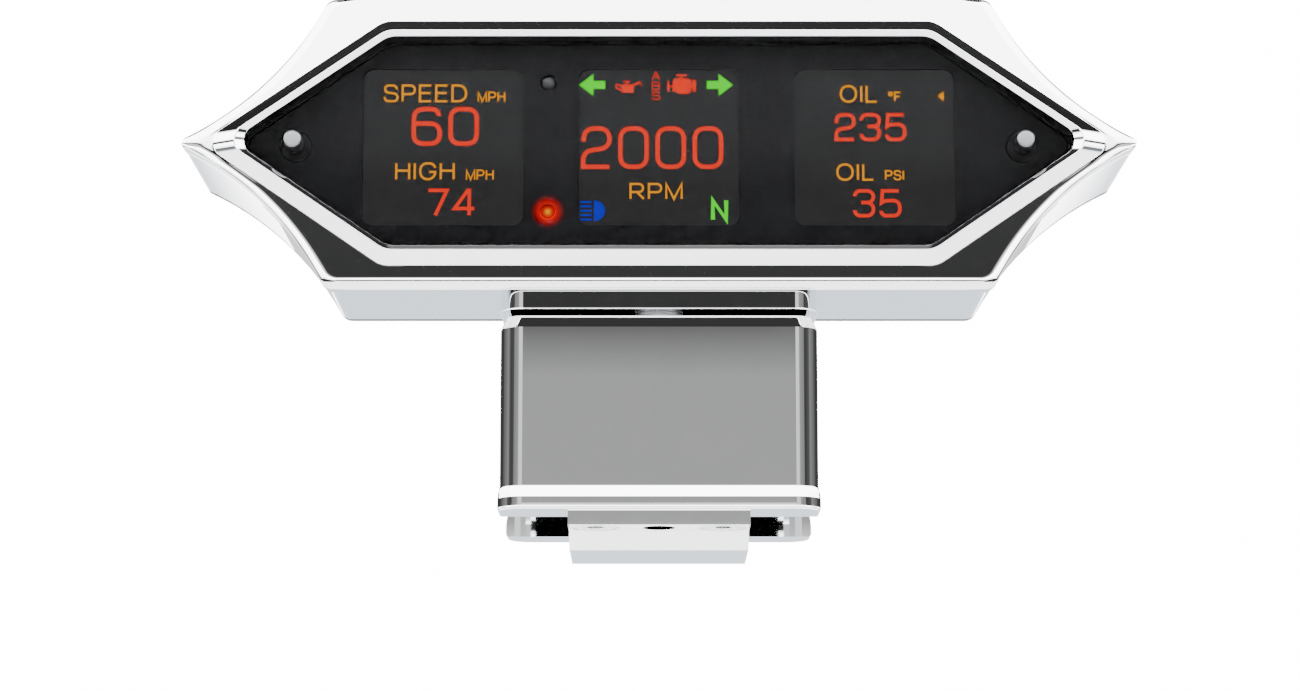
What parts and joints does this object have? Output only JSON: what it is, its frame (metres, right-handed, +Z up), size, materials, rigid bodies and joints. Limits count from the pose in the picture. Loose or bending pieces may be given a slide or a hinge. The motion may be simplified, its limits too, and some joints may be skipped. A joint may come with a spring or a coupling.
{
  "type": "motorcycle instrument cluster",
  "caption": "Chromed six-sided gauge case with square displays and push buttons behind a smoked lens, on a block that clamps a handlebar.",
  "frame": {"origin": "centre of the handlebar bore in the clamp block", "axes": "+X along the handlebar to the reader's right, +Y away from the rider, so that the face looks along -Y, +Z up"},
  "size_m": [0.1802, 0.0602, 0.103],
  "materials": {
    "chrome": "bright plated",
    "satin_aluminium": "satin",
    "black_metal": "satin powder coat",
    "smoked_lens": "smoked, polished",
    "black_mask": "matt",
    "display_glass": "glossy",
    "green_board": "solder mask",
    "black_plastic": "moulded",
    "black_rubber": "matt",
    "zinc_steel": "zinc plated",
    "red_lamp": "clear red",
    "clear_lamp": "water clear"
  },
  "bodies": {
    "clamp": {"clamp_block": "chrome", "clamp_cap": "chrome", "clamp_screws": "zinc_steel", "pivot_collar": "satin_aluminium", "pivot_washer": "zinc_steel"},
    "head": {"housing": "chrome", "mounting_foot": "chrome", "back_cover": "black_metal", "lens": "smoked_lens", "face_mask": "black_mask", "left_display": "display_glass", "centre_display": "display_glass", "right_display": "display_glass", "main_board": "green_board", "left_display_board": "green_board", "centre_display_board": "green_board", "right_display_board": "green_board", "display_headers": "black_plastic", "board_chips": "black_plastic", "board_connector": "black_plastic", "left_switch": "black_plastic", "right_switch": "black_plastic", "lens_gasket": "black_rubber", "cover_gasket": "black_rubber", "harness_grommet": "black_rubber", "left_button_seal": "black_rubber", "right_button_seal": "black_rubber", "board_screws": "zinc_steel", "cover_screws": "zinc_steel", "foot_screws": "zinc_steel", "pivot_screw": "zinc_steel", "lower_led": "red_lamp", "upper_led": "clear_lamp"},
    "left_button": {"left_button": "satin_aluminium"},
    "right_button": {"right_button": "satin_aluminium"}
  },
  "joints": [
    {"name": "head_swivel", "type": "hinge", "parent": "clamp", "child": "head", "pos_m": [0, -0.0215, 0.0232], "axis": [0, 0, 1], "range_deg": [-6, 6]},
    {"name": "left_press", "type": "slide", "parent": "head", "child": "left_button", "axis": [0, 1, 0], "range_m": [0, 0.001], "stiffness_N_per_m": 800},
    {"name": "right_press", "type": "slide", "parent": "head", "child": "right_button", "axis": [0, 1, 0], "range_m": [0, 0.001], "stiffness_N_per_m": 800}
  ]
}
